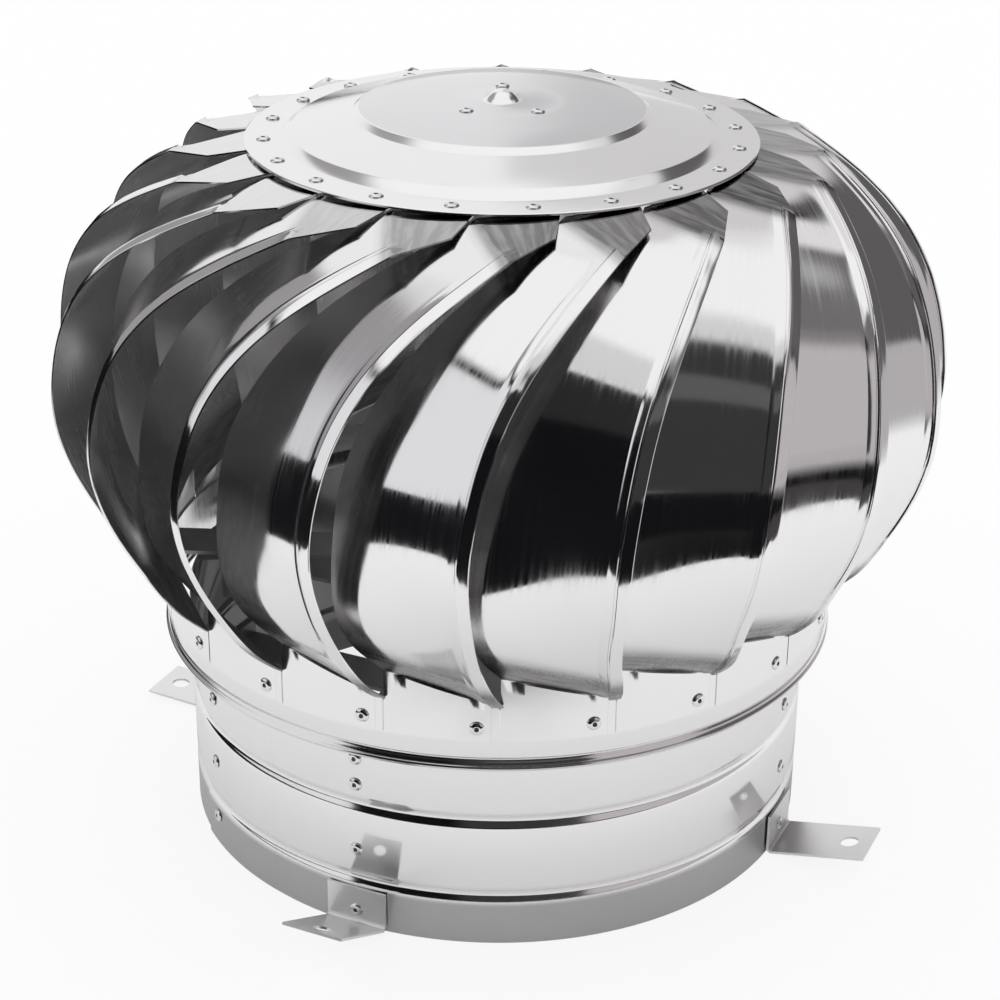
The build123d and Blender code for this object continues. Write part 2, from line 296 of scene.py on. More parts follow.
def new_group(name, inputs, outputs):
    """An empty shader group with named sockets."""
    group = bpy.data.node_groups.new(name, "ShaderNodeTree")
    for label, kind, value in inputs:
        socket = group.interface.new_socket(label, in_out="INPUT", socket_type=kind)
        if value is not None:
            socket.default_value = value
    for label, kind in outputs:
        group.interface.new_socket(label, in_out="OUTPUT", socket_type=kind)
    return group, group.nodes.new("NodeGroupInput"), group.nodes.new("NodeGroupOutput")


def place_group(tree, group, **values):
    node = tree.nodes.new("ShaderNodeGroup")
    node.node_tree = group
    for label, value in values.items():
        node.inputs[label.replace("_", " ")].default_value = value
    return node


def feed(tree, socket, value):
    """Link a socket to another one, or give it a plain number or colour."""
    if isinstance(value, (int, float)):
        socket.default_value = value
    elif isinstance(value, tuple):
        socket.default_value = (*value, 1)
    else:
        tree.links.new(value, socket)


def math_node(tree, operation, *values):
    node = tree.nodes.new("ShaderNodeMath")
    node.operation = operation
    for socket, value in zip(node.inputs, values):
        feed(tree, socket, value)
    return node.outputs[0]


def map_range(tree, value, low, high, to_low, to_high, smooth=False):
    node = tree.nodes.new("ShaderNodeMapRange")
    node.interpolation_type = "SMOOTHSTEP" if smooth else "LINEAR"
    tree.links.new(value, node.inputs["Value"])
    for label, number in (("From Min", low), ("From Max", high), ("To Min", to_low), ("To Max", to_high)):
        feed(tree, node.inputs[label], number)
    return node.outputs["Result"]


def mix_colour(tree, share, first, second):
    """The first colour where share is 0, the second where it is 1."""
    node = tree.nodes.new("ShaderNodeMix")
    node.data_type = "RGBA"
    tree.links.new(share, node.inputs["Factor"])
    feed(tree, node.inputs["A"], first)
    feed(tree, node.inputs["B"], second)
    return node.outputs["Result"]


def mix_shader(tree, share, first, second):
    node = tree.nodes.new("ShaderNodeMixShader")
    tree.links.new(share, node.inputs["Fac"])
    tree.links.new(first, node.inputs[1])
    tree.links.new(second, node.inputs[2])
    return node.outputs["Shader"]


def noise(tree, vector, scale, detail):
    node = tree.nodes.new("ShaderNodeTexNoise")
    tree.links.new(vector, node.inputs["Vector"])
    feed(tree, node.inputs["Scale"], scale)
    node.inputs["Detail"].default_value = detail
    return node.outputs["Fac"]


def stretched(tree, vector, stretch):
    node = tree.nodes.new("ShaderNodeVectorMath")
    node.operation = "MULTIPLY"
    tree.links.new(vector, node.inputs[0])
    node.inputs[1].default_value = stretch
    return node.outputs[0]


def split_axes(tree, vector):
    node = tree.nodes.new("ShaderNodeSeparateXYZ")
    tree.links.new(vector, node.inputs[0])
    return node.outputs


def object_place(tree):
    return tree.nodes.new("ShaderNodeTexCoord").outputs["Object"]


def sheet_noise(tree, stretch, detail):
    """Noise that follows the flat sheet: its features in a metre across a blade, and along it."""
    node = tree.nodes.new("ShaderNodeUVMap")
    node.uv_map = "sheet"
    return noise(tree, stretched(tree, node.outputs["UV"], (*stretch, 1)), 1.0, detail)


def mesh_value(tree, name):
    """A value that the blades' meshes carry at every point; 0 on meshes without it."""
    node = tree.nodes.new("ShaderNodeAttribute")
    node.attribute_name = name
    return node.outputs["Fac"]


def bumped(tree, shader, height, distance):
    bump = tree.nodes.new("ShaderNodeBump")
    bump.inputs["Distance"].default_value = distance
    tree.links.new(height, bump.inputs["Height"])
    tree.links.new(bump.outputs["Normal"], shader.inputs["Normal"])


# ---- effects that several finishes share ----------------------------------------------------
# Features in a metre of sheet, across a blade and along it, and the range of the noise that is used.
GRAIN_FINENESS = (1600, 25)
STREAK_FINENESS = (700, 7)
STREAK_RANGE = (0.35, 0.75)
SCRATCH_FINENESS = (90, 900)
SCRATCH_RANGE = (0.72, 0.8)
FOLD_FINENESS = (60, 330)
FOLD_RANGE = (0.3, 0.7)
FOLD_LEAST = 0.75             # painted crease shade between the folds, as a share of the full one
# the noise that mottles the painted shade on the top tabs, its range, and the least share of that shade
TAB_MOTTLE_FINENESS = (45, 260)
TAB_MOTTLE_RANGE = (0.34, 0.62)
TAB_SHADE_LEAST = 0.78
CLOUD_RANGE = (0.35, 0.7)
TAB_GRAIN = 0.05              # share of the grain that is left on the ring tabs


def rolling_grain_group():
    """Fine grain along the sheet's rolling direction, and faint scratches, from the sheet's own UVs."""
    group, inside, out = new_group(
        "rolling_grain",
        [("Grain Height", "NodeSocketFloat", 1.0), ("Scratch Height", "NodeSocketFloat", 1.0)],
        [("Height", "NodeSocketFloat"), ("Streaks", "NodeSocketFloat")],
    )
    grain = sheet_noise(group, GRAIN_FINENESS, 2.0)
    streaks = sheet_noise(group, STREAK_FINENESS, 4.0)
    scratch = map_range(group, sheet_noise(group, SCRATCH_FINENESS, 1.0), *SCRATCH_RANGE, 0.0, 1.0, True)
    grain_part = math_node(group, "MULTIPLY", grain, inside.outputs["Grain Height"])
    scratch_part = math_node(group, "MULTIPLY", scratch, inside.outputs["Scratch Height"])
    group.links.new(math_node(group, "SUBTRACT", grain_part, scratch_part), out.inputs["Height"])
    group.links.new(streaks, out.inputs["Streaks"])
    return group


def handling_group():
    """Cloudy finger marks and polish: a value from Low to High that changes over the surface."""
    group, inside, out = new_group(
        "handling_marks",
        [
            ("Size", "NodeSocketFloat", 20.0),
            ("Low", "NodeSocketFloat", 0.05),
            ("High", "NodeSocketFloat", 0.12),
        ],
        [("Value", "NodeSocketFloat")],
    )
    cloud = noise(group, object_place(group), inside.outputs["Size"], 4.0)
    mask = map_range(group, cloud, *CLOUD_RANGE, 0.0, 1.0, True)
    value = map_range(group, mask, 0.0, 1.0, inside.outputs["Low"], inside.outputs["High"])
    group.links.new(value, out.inputs["Value"])
    return group


def crease_folds_and_shade_group():
    """Wrinkles, dulling and painted shade beside a crease, from the sheet's bend value."""
    group, inside, out = new_group(
        "bend_wrinkles_and_shade",
        [("Height", "NodeSocketFloat", 1.0), ("Dulling", "NodeSocketFloat", 0.1)],
        [("Height", "NodeSocketFloat"), ("Roughness", "NodeSocketFloat"), ("Mask", "NodeSocketFloat")],
    )
    folds = sheet_noise(group, FOLD_FINENESS, 2.0)
    near = map_range(group, mesh_value(group, "bend"), 0.0, 1.0, 0.0, 1.0, True)
    folded = math_node(group, "MULTIPLY", folds, near)
    group.links.new(math_node(group, "MULTIPLY", folded, inside.outputs["Height"]), out.inputs["Height"])
    group.links.new(math_node(group, "MULTIPLY", near, inside.outputs["Dulling"]), out.inputs["Roughness"])
    shade_mottle = map_range(group, folds, *FOLD_RANGE, FOLD_LEAST, 1.0)
    group.links.new(math_node(group, "MULTIPLY", near, shade_mottle), out.inputs["Mask"])
    return group


def tab_haze_and_shade_group():
    """Handling wear and painted shade on the blades' tabs: painted shade at the top, mottled by a noise, and
    a broad haze and little grain at the ring.
    """
    group, inside, out = new_group(
        "tab_wear_and_shade",
        [("Haze", "NodeSocketFloat", 0.2)],
        [("Roughness", "NodeSocketFloat"), ("Mask", "NodeSocketFloat"), ("Grain", "NodeSocketFloat")],
    )
    ring = mesh_value(group, "ring_tab")
    shade_mottle = map_range(group, sheet_noise(group, TAB_MOTTLE_FINENESS, 2.0), *TAB_MOTTLE_RANGE, TAB_SHADE_LEAST, 1.0, True)
    group.links.new(math_node(group, "MULTIPLY", mesh_value(group, "top_tab"), shade_mottle), out.inputs["Mask"])
    group.links.new(math_node(group, "MULTIPLY", ring, inside.outputs["Haze"]), out.inputs["Roughness"])
    group.links.new(map_range(group, ring, 0.0, 1.0, 1.0, TAB_GRAIN), out.inputs["Grain"])
    return group


ROLLING_GRAIN = rolling_grain_group()
HANDLING = handling_group()
CREASE_FOLDS_AND_SHADE = crease_folds_and_shade_group()
TAB_WEAR_AND_SHADE = tab_haze_and_shade_group()


# ---- finishes -------------------------------------------------------------------------------
POLISH_COLOUR = (0.88, 0.872, 0.872)
# painted shade in the bend above the lower crease: darker sheet where it reflects the shadowed floor
CREASE_SHADE_COLOUR = (0.20, 0.195, 0.195)
# painted shade on the blades' top tabs
TAB_SHADE_COLOUR = (0.055, 0.052, 0.052)
POLISH_MARKS = 22.0           # cloudy marks in a metre
POLISH_GRAIN = 0.5
POLISH_SCRATCH = 0.6
POLISH_BUMP = 0.000002        # depth of a full bump, in metres
STREAK_DULLING = 0.10
BEND_FOLDS = 90.0             # height of the folds, in bumps
BEND_DULLING = 0.2
TAB_HAZE = 0.10

SATIN_MARKS = 14.0
SATIN_FINENESS = 2600.0
SATIN_BUMP = 0.000008

PLATE_COLOUR = (0.90, 0.895, 0.895)
DISC_COLOUR = (0.76, 0.757, 0.763)
DISC_EDGE = (0.0640, 0.0645)  # radii between which the disc's darker tone ends, and inside it begins
DOME_EDGE = (0.0086, 0.0092)
PLATE_BUMP = 0.000004

# the neck's satin foot: its darker colour is painted shade, standing in for the shadowed floor it reflects
SATIN_SHADE_COLOUR = (0.49, 0.482, 0.484)
SATIN_EDGE = (0.019, 0.023)   # heights between which the neck's satin foot, with its painted shade, ends
SATIN_DULLING = 0.26
NECK_MARKS = 18.0
NECK_GRAIN = 0.6
NECK_SCRATCH = 0.4
NECK_BUMP = 0.000003


def polished_sheet(name, colour, low, high):
    """Mirror-polished sheet: grain along it, cloudy marks, wrinkled bends with painted shade, and tabs with
    painted shade at the top and a haze at the ring.
    """
    material, tree, shader = new_material(name, colour, low)
    marks = place_group(tree, HANDLING, Size=POLISH_MARKS, Low=low, High=high)
    grain = place_group(tree, ROLLING_GRAIN, Grain_Height=POLISH_GRAIN, Scratch_Height=POLISH_SCRATCH)
    bends = place_group(tree, CREASE_FOLDS_AND_SHADE, Height=BEND_FOLDS, Dulling=BEND_DULLING)
    wear_and_shade = place_group(tree, TAB_WEAR_AND_SHADE, Haze=TAB_HAZE)
    # painted shade in the bends above the lower creases
    crease_shaded = mix_colour(tree, bends.outputs["Mask"], colour, CREASE_SHADE_COLOUR)
    # painted shade on the top tabs
    tab_shaded = mix_colour(tree, wear_and_shade.outputs["Mask"], crease_shaded, TAB_SHADE_COLOUR)
    tree.links.new(tab_shaded, shader.inputs["Base Color"])
    streaks = map_range(tree, grain.outputs["Streaks"], *STREAK_RANGE, 0.0, STREAK_DULLING)
    rough = math_node(tree, "MULTIPLY_ADD", streaks, wear_and_shade.outputs["Grain"], marks.outputs["Value"])
    rough = math_node(tree, "ADD", rough, bends.outputs["Roughness"])
    tree.links.new(math_node(tree, "ADD", rough, wear_and_shade.outputs["Roughness"]), shader.inputs["Roughness"])
    height = math_node(tree, "ADD", grain.outputs["Height"], bends.outputs["Height"])
    bumped(tree, shader, math_node(tree, "MULTIPLY", height, wear_and_shade.outputs["Grain"]), POLISH_BUMP)
    return material


def film_over(material):
    """A dull handling film, as strong as each blade's film value."""
    tree = material.node_tree
    clear = map_range(tree, mesh_value(tree, "film"), 0.0, 1.0, 1.0, 0.0)
    tree.links.new(clear, tree.nodes["Principled BSDF"].inputs["Metallic"])


def satin_sheet(name, colour, low, high):
    """Plain metal with a fine even grain."""
    material, tree, shader = new_material(name, colour, low)
    marks = place_group(tree, HANDLING, Size=SATIN_MARKS, Low=low, High=high)
    tree.links.new(marks.outputs["Value"], shader.inputs["Roughness"])
    bumped(tree, shader, noise(tree, object_place(tree), SATIN_FINENESS, 2.0), SATIN_BUMP)
    return material


def plate_sheet():
    """Satin sheet, darker on the raised disc round the dome."""
    material, tree, shader = new_material("plate_sheet", PLATE_COLOUR, 0.14)
    place = object_place(tree)
    from_axis = tree.nodes.new("ShaderNodeVectorMath")
    from_axis.operation = "LENGTH"
    tree.links.new(stretched(tree, place, (1, 1, 0)), from_axis.inputs[0])
    disc = map_range(tree, from_axis.outputs["Value"], *DISC_EDGE, 1.0, 0.0)
    beyond_dome = map_range(tree, from_axis.outputs["Value"], *DOME_EDGE, 0.0, 1.0)
    on_disc = math_node(tree, "MULTIPLY", disc, beyond_dome)
    tree.links.new(mix_colour(tree, on_disc, PLATE_COLOUR, DISC_COLOUR), shader.inputs["Base Color"])
    marks = place_group(tree, HANDLING, Size=SATIN_MARKS, Low=0.13, High=0.19)
    tree.links.new(marks.outputs["Value"], shader.inputs["Roughness"])
    bumped(tree, shader, noise(tree, place, SATIN_FINENESS, 2.0), PLATE_BUMP)
    return material


def neck_sheet():
    """Polished throat, satin below the lower bead, and darker there as painted shade."""
    material, tree, shader = new_material("neck_sheet", POLISH_COLOUR, 0.1)
    height = split_axes(tree, object_place(tree))["Z"]
    satin_and_shade = map_range(tree, height, *SATIN_EDGE, 1.0, 0.0, True)
    tree.links.new(mix_colour(tree, satin_and_shade, POLISH_COLOUR, SATIN_SHADE_COLOUR), shader.inputs["Base Color"])
    marks = place_group(tree, HANDLING, Size=NECK_MARKS, Low=0.06, High=0.15)
    rough = math_node(tree, "MULTIPLY_ADD", satin_and_shade, SATIN_DULLING, marks.outputs["Value"])
    tree.links.new(rough, shader.inputs["Roughness"])
    grain = place_group(tree, ROLLING_GRAIN, Grain_Height=NECK_GRAIN, Scratch_Height=NECK_SCRATCH)
    bumped(tree, shader, grain.outputs["Height"], NECK_BUMP)
    return material


# Each finish with its colour and the lowest and highest roughness of its cloudy marks.
POLISHED = polished_sheet("polished_sheet", POLISH_COLOUR, 0.04, 0.09)
# the blades' inner faces: a little darker in colour, as painted shade of the cavity between the blades
BLADE_INSIDE = polished_sheet("blade_inside", (0.78, 0.772, 0.772), 0.15, 0.24)
film_over(BLADE_INSIDE)
RING_SHEET = polished_sheet("ring_sheet", (0.86, 0.852, 0.852), 0.06, 0.13)
NECK_SHEET = neck_sheet()
PLATE_SHEET = plate_sheet()
FOOT_STEEL = satin_sheet("foot_steel", (0.84, 0.835, 0.835), 0.28, 0.36)
STRAP_STEEL = satin_sheet("strap_steel", (0.55, 0.56, 0.57), 0.3, 0.45)
SHAFT_STEEL = satin_sheet("shaft_steel", (0.58, 0.59, 0.60), 0.18, 0.28)
BEARING_STEEL = satin_sheet("bearing_steel", (0.45, 0.46, 0.47), 0.2, 0.3)
RIVET_METAL = satin_sheet("rivet_metal", (0.80, 0.81, 0.82), 0.10, 0.18)
# painted shade: the near-black colour of each rivet's mouth
RIVET_HOLE_SHADE = satin_sheet("rivet_hole_shade", (0.10, 0.10, 0.105), 0.35, 0.5)


# ---- neck and feet --------------------------------------------------------------------------
def neck_outline(radius):
    return [
        (radius, 0.0),
        (radius, LOWER_BEAD - BEAD_WIDTH / 2 - BEAD_RUN_IN),
        *bead_points(LOWER_BEAD, BEAD_WIDTH, BEAD_DEPTH, radius),
        *bead_points(UPPER_BEAD, BEAD_WIDTH, BEAD_DEPTH, radius),
        (radius, NECK_HEIGHT),
    ]


def make_neck():
    wall = lathe("neck_throat", sheet_profile(neck_outline(NECK_RADIUS), SHEET), NECK_SHEET, "base")
    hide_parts("neck")
    edge = SEAM_AZIMUTH - degrees(SEAM_LAP / 2 / NECK_RADIUS)
    lap = lathe("neck_seam_lap", sheet_profile(neck_outline(NECK_RADIUS + SHEET), SEAM_SHEET), NECK_SHEET,
                "base", SEAM_SEGMENTS, edge, SEAM_TAPER)
    for vertex in lap.data.vertices:
        turn = degrees(atan2(vertex.co.x, -vertex.co.y)) - edge
        radius = vertex.co.xy.length
        vertex.co.xy *= (radius - SEAM_SETTLE * turn / SEAM_TAPER) / radius


def dress(node, material):
    """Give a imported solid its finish."""
    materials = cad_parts[node].data.materials
    materials.clear()
    materials.append(material)


def dress_feet():
    for i in range(1, FOOT_COUNT + 1):
        dress(f"foot_{i}", FOOT_STEEL)


# ---- ring and plate -------------------------------------------------------------------------
def make_ring():
    hem_middle = RING_BOTTOM + HEM_HEIGHT / 2
    groove_middle = RING_BOTTOM + HEM_HEIGHT + GROOVE_HEIGHT / 2
    outer = [
        *bead_points(hem_middle, HEM_HEIGHT, -HEM_BULGE, RING_RADIUS),
        *bead_points(groove_middle, GROOVE_HEIGHT, GROOVE_DEPTH, RING_RADIUS)[1:],
        (RING_RADIUS, RING_TOP),
    ]
    ring = lathe("ring_band", sheet_profile(outer, SHEET), RING_SHEET, "rotor")
    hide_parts("rotor_ring")


def make_plate():
    outer = [(r * MM, z * MM) for r, z in PLATE_PROFILE]
    under = [(r, z - SHEET) for r, z in reversed(outer)]
    plate = lathe("pressed_top_plate", outer + under, PLATE_SHEET, "rotor", PLATE_SEGMENTS)
    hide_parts("top_plate")


# ---- blades ---------------------------------------------------------------------------------
# How far each column of a blade stands above its panel: the hem's columns, then the flat ones.
COLUMN_RISE = np.concatenate([[h for _, h in HEM_PROFILE], np.zeros(BODY_COLUMNS)]) * MM


def smooth_waves(count, shortest, longest):
    """A gentle random curve of about unit height, as a function of a length."""
    waves = [
        (2 * pi / rng.uniform(shortest, longest), rng.uniform(0, 2 * pi), rng.normal()) for _ in range(count)
    ]
    scale = sqrt(sum(height ** 2 for _, _, height in waves) / 2) or 1.0
    return lambda x: sum(height * np.sin(rate * x + phase) for rate, phase, height in waves) / scale


def column_places(width):
    """Distances from the free edge: the hem's own columns, then an even spread over the panel."""
    hem = np.array([w for w, _ in HEM_PROFILE]) * MM
    body = np.linspace(hem[-1], width, BODY_COLUMNS + 1)[1:]
    return np.concatenate([hem, body])


def panel_rows():
    """Both faces of the curved panel, rows from the lower crease up, and the ends of its edges."""
    free, free_way = spline_rail(rail_points(FREE_EDGE), PANEL_ROWS)
    lead, lead_way = spline_rail(rail_points(LEAD_EDGE), PANEL_ROWS)
    hem_share = np.clip(COLUMN_RISE / HEM_RISE, 0, 1)
    crimp = smooth_waves(*CRIMP_WAVES)
    dents = [smooth_waves(*DENT_WAVES) for _ in range(DENT_COUNT)]
    outer, inner = [], []
    step = np.linalg.norm(np.diff(free, axis=0), axis=1).mean()
    for i in range(PANEL_ROWS):
        across = free[i] - lead[i]
        width = np.linalg.norm(across)
        across = across / width
        outward = np.cross(across, free_way[i] + lead_way[i])
        outward = outward / np.linalg.norm(outward)
        place = column_places(width)
        share = place / width
        run = i * step
        fade = min(1.0, i / DENT_FADE_ROWS, (PANEL_ROWS - 1 - i) / DENT_FADE_ROWS)
        wave = sum(d(run) * np.sin(pi * share * (k + 1)) for k, d in enumerate(dents))
        lift = COLUMN_RISE + hem_share * crimp(run) * CRIMP_DEPTH + wave * DENT_DEPTH * fade
        base = free[i] - np.outer(place, across)
        outer.append(base + np.outer(lift, outward))
        inner.append(base - outward * SHEET)
    return np.array(outer), np.array(inner), free[-1], lead[-1]


def ring_tab_rows(crease):
    """Both faces of the tab that is wrapped on the ring, rows from its foot up to below the crease."""
    outer, inner = [], []
    for k in range(TAB_ROWS + 1):
        share = k / TAB_ROWS
        row_out, row_in = [], []
        for point in crease:
            turn = min(degrees(atan2(point[0], -point[1])), TAB_FREE_TURN)
            top = point[2] - CREASE_DROP
            height = TAB_BOTTOM + (top - TAB_BOTTOM) * share
            row_out.append(at(TAB_RADIUS, turn, height))
            row_in.append(at(TAB_RADIUS - SHEET, turn, height))
        outer.append(row_out)
        inner.append(row_in)
    return np.array(outer), np.array(inner)


def top_tab_rows(free_end, lead_end):
    """Both faces of the flat triangle above the upper crease, where the hem runs out."""
    side, corner = rail_points([TOP_TAB_SIDE, TOP_TAB_CORNER])
    width = np.linalg.norm(free_end - lead_end)
    share = column_places(width) / width
    crease = free_end - np.outer(share, free_end - lead_end)
    end_line = side - np.outer(share, side - corner)
    normal = np.cross(side - free_end, lead_end - free_end)
    normal = normal / np.linalg.norm(normal)
    if normal[2] < 0:
        normal = -normal
    outer, inner = [], []
    for k in range(1, TOP_ROWS + 1):
        q = CREASE_SHARE if k == 1 else (k - 1) / (TOP_ROWS - 1)
        base = crease * (1 - q) + end_line * q
        outer.append(base + np.outer(COLUMN_RISE * max(0.0, 1 - q / HEM_END), normal))
        inner.append(base - normal * SHEET)
    return np.array(outer), np.array(inner)


def blade_grid():
    """Outer and inner faces of one blade as grids of points, rows from the ring up to the plate."""
    panel_outer, panel_inner, free_end, lead_end = panel_rows()
    ring_outer, ring_inner = ring_tab_rows(panel_outer[0])
    top_outer, top_inner = top_tab_rows(free_end, lead_end)
    outer = np.concatenate([ring_outer, panel_outer, top_outer])
    inner = np.concatenate([ring_inner, panel_inner, top_inner])
    return outer, inner


def grid_faces(rows, columns):
    """Faces of a closed sheet: outer grid, inner grid, and the four edges between them."""
    count = rows * columns
    faces = []
    for i in range(rows - 1):
        for j in range(columns - 1):
            a, b = i * columns + j, (i + 1) * columns + j
            faces.append((a, a + 1, b + 1, b))
            faces.append((count + a, count + b, count + b + 1, count + a + 1))
    for j in range(columns - 1):
        for a in (j, (rows - 1) * columns + j):
            faces.append((a, a + 1, count + a + 1, count + a))
    for i in range(rows - 1):
        for a in (i * columns, i * columns + columns - 1):
            faces.append((a, a + columns, count + a + columns, count + a))
    return faces


def under_tab(first):
    """The flat tab under the plate's rim, as points and faces numbered from first."""
    start, end = TOP_TAB_TURNS
    turns = np.linspace(start + UNDER_TAB_INSET, end - UNDER_TAB_INSET, UNDER_TAB_PLACES)
    top = RIM_TOP - SHEET
    section = (
        (TOP_TAB_INNER, top), (TOP_TAB_BEND, top), (TOP_TAB_BEND, top - SHEET), (TOP_TAB_INNER, top - SHEET),
    )
    points, faces = [], []
    for turn in turns:
        for radius, height in section:
            points.append(at(radius, turn, height))
    for i in range(len(turns) - 1):
        for j in range(4):
            a, b = first + 4 * i, first + 4 * (i + 1)
            faces.append((a + j, b + j, b + (j + 1) % 4, a + (j + 1) % 4))
    faces.append(tuple(first + j for j in range(4)))
    faces.append(tuple(first + 4 * (len(turns) - 1) + j for j in range(4)))
    return points, faces


def mark_blade(blade, number, row_run, columns):
    """Values at every point that drive the finish: the worked bend with its painted shade, the two tabs with
    painted shade on the top one, and the inside film.
    """
    count = len(blade.data.vertices)
    low, high = row_run[TAB_ROWS + 1], row_run[TAB_ROWS + PANEL_ROWS]
    wear_and_shade = TOP_TAB_SHADE.get(number, OTHER_TAB_SHADE)
    bend, top_tab, ring_tab = ([0.0] * count for _ in range(3))
    for k in range(2 * len(row_run) * columns):
        run = row_run[k // columns % len(row_run)]
        if run < low:
            ring_tab[k] = 1.0
            continue
        worked = (LOW_BEND[1] - (run - low)) / (LOW_BEND[1] - LOW_BEND[0])
        formed = (HIGH_BEND[1] - (high - run)) / (HIGH_BEND[1] - HIGH_BEND[0])
        bend[k] = max(0.0, min(1.0, worked))
        top_tab[k] = wear_and_shade * max(0.0, min(1.0, formed))
    film = [INSIDE_FILM.get(number, OTHER_FILM)] * count
    for label, values in (("bend", bend), ("top_tab", top_tab), ("ring_tab", ring_tab), ("film", film)):
        blade.data.attributes.new(label, "FLOAT", "POINT").data.foreach_set("value", values)


def make_blade(number):
    outer, inner = blade_grid()
    rows, columns = outer.shape[:2]
    vertices = [*outer.reshape(-1, 3), *inner.reshape(-1, 3)]
    faces = grid_faces(rows, columns)
    middle = outer[:, columns // 2]
    row_run = np.concatenate([[0], np.cumsum(np.linalg.norm(np.diff(middle, axis=0), axis=1))])
    sheet_uvs = []
    for i in range(rows):
        for j in range(columns):
            from_edge = float(np.linalg.norm(outer[i, j] - outer[i, 0]))
            sheet_uvs.append((GRAIN_SHIFT * number + from_edge, row_run[i]))
    tab_points, tab_faces = under_tab(len(vertices))
    uvs = sheet_uvs * 2 + [(p[0], p[1]) for p in tab_points]
    turn = Matrix.Rotation(radians(FIRST_BLADE + (number - 1) * BLADE_PITCH), 3, "Z")
    vertices = [turn @ Vector(v) for v in [*vertices, *tab_points]]
    blade = new_object(f"curved_blade_{number:02d}", vertices, faces + tab_faces, POLISHED, "rotor", uvs,
                       SHARP_BLADE_FOLD)
    mark_blade(blade, number, row_run, columns)
    blade.data.materials.append(BLADE_INSIDE)
    inner_first, inner_end = rows * columns, 2 * rows * columns
    for polygon in blade.data.polygons:
        if inner_first <= min(polygon.vertices) and max(polygon.vertices) < inner_end:
            polygon.material_index = 1
    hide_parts(f"blade_{number:02d}")


# ---- rivets ---------------------------------------------------------------------------------
def rivet_mesh():
    """Head of a blind rivet, standing on z = 0, with the broken stem in its middle, its mouth painted
    near-black as shade.
    """
    vertices, faces = [], []
    for r, z in RIVET_SECTION:
        for i in range(RIVET_SIDES):
            a = 2 * pi * i / RIVET_SIDES
            vertices.append((r * RIVET_RADIUS * cos(a), r * RIVET_RADIUS * sin(a), z * RIVET_HEIGHT))
    for j in range(len(RIVET_SECTION) - 1):
        low, high = j * RIVET_SIDES, (j + 1) * RIVET_SIDES
        for i in range(RIVET_SIDES):
            k = (i + 1) % RIVET_SIDES
            faces.append((low + i, low + k, high + k, high + i))
    faces.append(tuple(len(vertices) - RIVET_SIDES + i for i in range(RIVET_SIDES)))
    faces.append(tuple(reversed(range(RIVET_SIDES))))
    mesh = bpy.data.meshes.new("rivet_head")
    mesh.from_pydata(vertices, [], faces)
    mesh.materials.append(RIVET_METAL)
    mesh.materials.append(RIVET_HOLE_SHADE)
    for polygon in mesh.polygons:
        polygon.use_smooth = len(polygon.vertices) == 4
        reach = max(Vector(vertices[v]).xy.length for v in polygon.vertices)
        polygon.material_index = 1 if reach < RIVET_MOUTH * RIVET_RADIUS else 0
    return mesh


RIVET = rivet_mesh()


def set_rivet(name, place, way, body):
    rivet = bpy.data.objects.new(name, RIVET)
    bpy.context.scene.collection.objects.link(rivet)
    turn = Vector(way).to_track_quat("Z", "Y").to_matrix().to_4x4()
    rivet.matrix_world = Matrix.Translation(place) @ turn
    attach(rivet, body)


def wall_rivet(name, radius, azimuth, height, body):
    set_rivet(name, at(radius, azimuth, height), at(1.0, azimuth), body)


def make_rivets():
    for i in range(BLADE_COUNT):
        turn = FIRST_BLADE + i * BLADE_PITCH
        wall_rivet(f"ring_rivet_{i + 1:02d}", TAB_RADIUS, turn, RING_RIVET, "rotor")
        place = at(PLATE_RIVET_CIRCLE, turn + PLATE_RIVET_TURN, RIM_TOP)
        set_rivet(f"plate_rivet_{i + 1:02d}", place, (0, 0, 1), "rotor")
    for i, turn in enumerate(CAP_RIVET_TURNS):
        set_rivet(f"cap_rivet_{i + 1}", at(CAP_RIVET_CIRCLE, turn, CAP_TOP), (0, 0, 1), "rotor")
    for i in range(FOOT_COUNT):
        turn = FOOT_AZIMUTH + i * 360 / FOOT_COUNT
        wall_rivet(f"foot_rivet_{i + 1}", FOOT_FACE, turn, FOOT_RIVET, "base")
        wall_rivet(f"lower_brace_rivet_{i + 1}", NECK_RADIUS, turn, LOWER_BRACE_RIVET, "base")
        for level, height in zip(("low", "high"), UPPER_BRACE_RIVETS):
            wall_rivet(f"upper_brace_rivet_{level}_{i + 1}", NECK_RADIUS, turn, height, "base")
    for i, height in enumerate(SEAM_RIVETS):
        wall_rivet(f"seam_rivet_{i + 1}", NECK_RADIUS + SHEET, SEAM_AZIMUTH, height, "base")


# ---- the works inside -----------------------------------------------------------------------
def dress_works():
    finishes = {
        "lower_brace": STRAP_STEEL, "upper_brace": STRAP_STEEL, "rotor_brace": STRAP_STEEL,
        "bearing_cup": STRAP_STEEL, "bearings": BEARING_STEEL,
        "shaft": SHAFT_STEEL, "shaft_nuts": SHAFT_STEEL,
    }
    for node, material in finishes.items():
        dress(node, material)


# ---- studio ---------------------------------------------------------------------------------
CAMERA_DISTANCE = 1.12125
CAMERA_LIFT = 25.26
CAMERA_ROLL = 0.59
CAMERA_TARGET = Vector((0.00077, 0.0, 0.15075))
CAMERA_LENS = 83.55
CAMERA_SENSOR = 36.0


